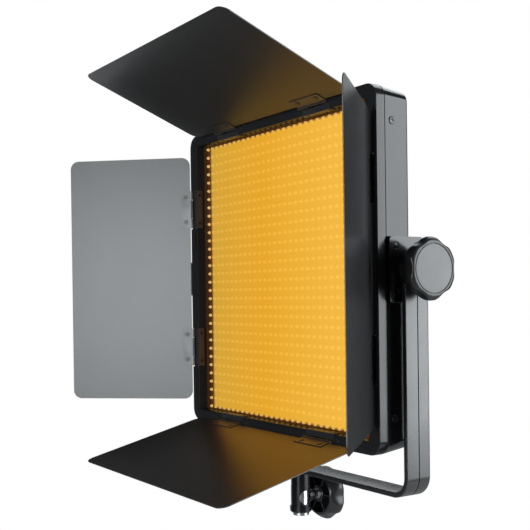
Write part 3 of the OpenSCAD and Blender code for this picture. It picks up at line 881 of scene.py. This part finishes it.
domes = []
for i in range(LEDS_A_SIDE):
    for j in range(LEDS_A_SIDE):
        x = (i - (LEDS_A_SIDE - 1) / 2) * LED_PITCH
        z = CENTRE_Z + (j - (LEDS_A_SIDE - 1) / 2) * LED_PITCH
        domes.append(placed(dome_shape(), along((0, -1, 0), (x, board_front, z))))
publish(solid("led_domes", *joined(domes)), "led_array")

# ---- Doors, hinges and the rest, with their hard edges rounded ----

for side in ("top", "bottom", "left", "right"):
    refined("door_" + side, 0.25 * MM)
    refined("door_leaves_" + side, 0.12 * MM, 2)
    refined("frame_leaves_" + side, 0.15 * MM, 2)
for hand in ("left", "right"):
    refined("pivot_block_" + hand, 1.0 * MM)
refined("rear_spine", 1.2 * MM)
refined("stand_receiver", 0.4 * MM)
refined("rocker_frame", 0.5 * MM)
refined("power_rocker", 0.4 * MM)
for control in ("dimmer", "colour"):
    refined(control + "_knob", 0.3 * MM, 2)
for button in ("mode", "up", "down"):
    refined(button + "_button", 0.4 * MM)
refined("dc_inlet", 0.3 * MM, 2)
refined("receiver_bolt", 0.4 * MM, 2)

# ---- Marks on and round the dials ----

TICKS = 11
TICK_SWEEP = 300
TICK_W = 0.8 * MM
TICK_L = 2.8 * MM
TICK_GAP = 1.6 * MM
INK = 0.06 * MM
POINTER_HALF_W = 0.4 * MM


def bar_shape(low, high):
    """Closed bar between two corners, its far face a little smaller so its edges catch the light."""
    (x0, y0, z0), (x1, y1, z1) = low, high
    rings = []
    for y, i in ((y0, 0), (y1, 0.15 * (x1 - x0))):
        rings.append([(x0 + i, y, z0 + i), (x1 - i, y, z0 + i), (x1 - i, y, z1 - i), (x0 + i, y, z1 - i)])
    return loft(rings)


def mark(name, shapes, body):
    """Pale mark made of closed shapes, which rides a body."""
    obj = solid(name, *joined(shapes))
    paint(obj, MATERIALS["button_plastic"])
    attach(obj, body)


for control in ("dimmer", "colour"):
    low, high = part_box(control + "_knob")
    centre = Vector(((low.x + high.x) / 2, 0, (low.z + high.z) / 2))
    dial_r = (high.x - low.x) / 2
    ticks = []
    start = dial_r + TICK_GAP
    tick = bar_shape((-TICK_W / 2, spine_rear - INK, start), (TICK_W / 2, spine_rear + INK, start + TICK_L))
    for i in range(TICKS):
        turn = Matrix.Rotation(math.radians(TICK_SWEEP * (i / (TICKS - 1) - 0.5)), 4, "Y")
        ticks.append(placed(tick, Matrix.Translation(centre) @ turn))
    mark(control + "_ticks", ticks, "head")
    line = bar_shape(
        (-POINTER_HALF_W, spine_rear + 0.5 * MM, dial_r - 1 * MM),
        (POINTER_HALF_W, high.y - 0.4 * MM, dial_r + 0.1 * MM),
    )
    mark(control + "_pointer", [placed(line, Matrix.Translation(centre))], "control_" + control + "_knob")

# ---- Floor, lights and surroundings ----

FLOOR_SIZE = 40
FLOOR_Z = -0.9
ROOM_LIGHT = (0.035, 0.036, 0.038)
DAYLIGHT = (0.93, 0.975, 1.0)
LIGHT_REACH = 2.4
SPILL_COLOUR = (1.0, 0.20, 0.015)
SPILL_POWER = 0.03
SPILL_H = 120 * MM
SPILL_DROP = 90 * MM


def shown_apart(tree, lit, seen, output):
    """The camera sees one shader, seen, while the other, lit, is what lights the rest."""
    path = tree.nodes.new("ShaderNodeLightPath")
    mix = tree.nodes.new("ShaderNodeMixShader")
    tree.links.new(path.outputs["Is Camera Ray"], mix.inputs["Fac"])
    tree.links.new(lit.outputs[0], mix.inputs[1])
    tree.links.new(seen.outputs[0], mix.inputs[2])
    tree.links.new(mix.outputs[0], tree.nodes[output].inputs["Surface"])


def flat_plane(name, size, at):
    mesh = bpy.data.meshes.new(name)
    h = size / 2
    mesh.from_pydata([(-h, -h, 0), (h, -h, 0), (h, h, 0), (-h, h, 0)], [], [(0, 1, 2, 3)])
    obj = bpy.data.objects.new(name, mesh)
    bpy.context.collection.objects.link(obj)
    obj.location = at
    return obj


def bright_floor():
    """Pale floor that shows pure white, as the surroundings do."""
    mat, tree, shader = new_material("pale_floor")
    shader.inputs["Base Color"].default_value = (0.6, 0.6, 0.6, 1)
    shader.inputs["Roughness"].default_value = 0.9
    shown_apart(tree, shader, tree.nodes.new("ShaderNodeEmission"), "Material Output")
    return mat


floor = flat_plane("floor", FLOOR_SIZE, (0, 0, FLOOR_Z))
paint(floor, bright_floor())


def area_light(name, at, towards, size, power, colour=DAYLIGHT):
    data = bpy.data.lights.new(name, "AREA")
    data.shape = "RECTANGLE"
    data.size, data.size_y = size
    data.energy = power
    data.color = colour
    obj = bpy.data.objects.new(name, data)
    bpy.context.collection.objects.link(obj)
    obj.location = at
    obj.rotation_mode = "QUATERNION"
    obj.rotation_quaternion = (Vector(towards) - Vector(at)).to_track_quat("-Z", "Y")
    return obj


# name: turn from the front and rise in degrees, width and height in metres, watts
LIGHTS = {
    "side_softbox": (128, 6, (1.8, 2.0), 74),
    "front_softbox": (27, 0, (1.0, 1.1), 51),
    "back_softbox": (-136, 21, (1.2, 0.7), 6),
    "far_strip": (-86, -2, (0.5, 2.6), 8),
    "rear_fill": (-165, 48, (1.4, 1.4), 22),
}
for name, (turn, rise, size, power) in LIGHTS.items():
    a, e = math.radians(turn), math.radians(rise)
    way = Vector((math.sin(a) * math.cos(e), -math.cos(a) * math.cos(e), math.sin(e)))
    area_light(name, TILT + way * LIGHT_REACH, TILT, size, power)

# The LEDs' light on the doors, redder than the filter shows it and most of it on the lower door.
spill_y = filter_low.y - 1 * MM
spill_z = CENTRE_Z - SPILL_DROP
spill = area_light(
    "led_spill",
    (0, spill_y, spill_z),
    (0, spill_y - 1, spill_z),
    (2 * GLOW_SIDE, SPILL_H),
    SPILL_POWER,
    SPILL_COLOUR,
)
spill.visible_camera = False
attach(spill, "head")

world = bpy.data.worlds.new("studio")
bpy.context.scene.world = world
world.use_nodes = True
sky = world.node_tree
background = sky.nodes["Background"]
background.inputs["Color"].default_value = (*ROOM_LIGHT, 1)
background.inputs["Strength"].default_value = 1.0
white = sky.nodes.new("ShaderNodeBackground")
white.inputs["Color"].default_value = (1, 1, 1, 1)
shown_apart(sky, background, white, "World Output")

bpy.context.scene.view_settings.view_transform = "Standard"
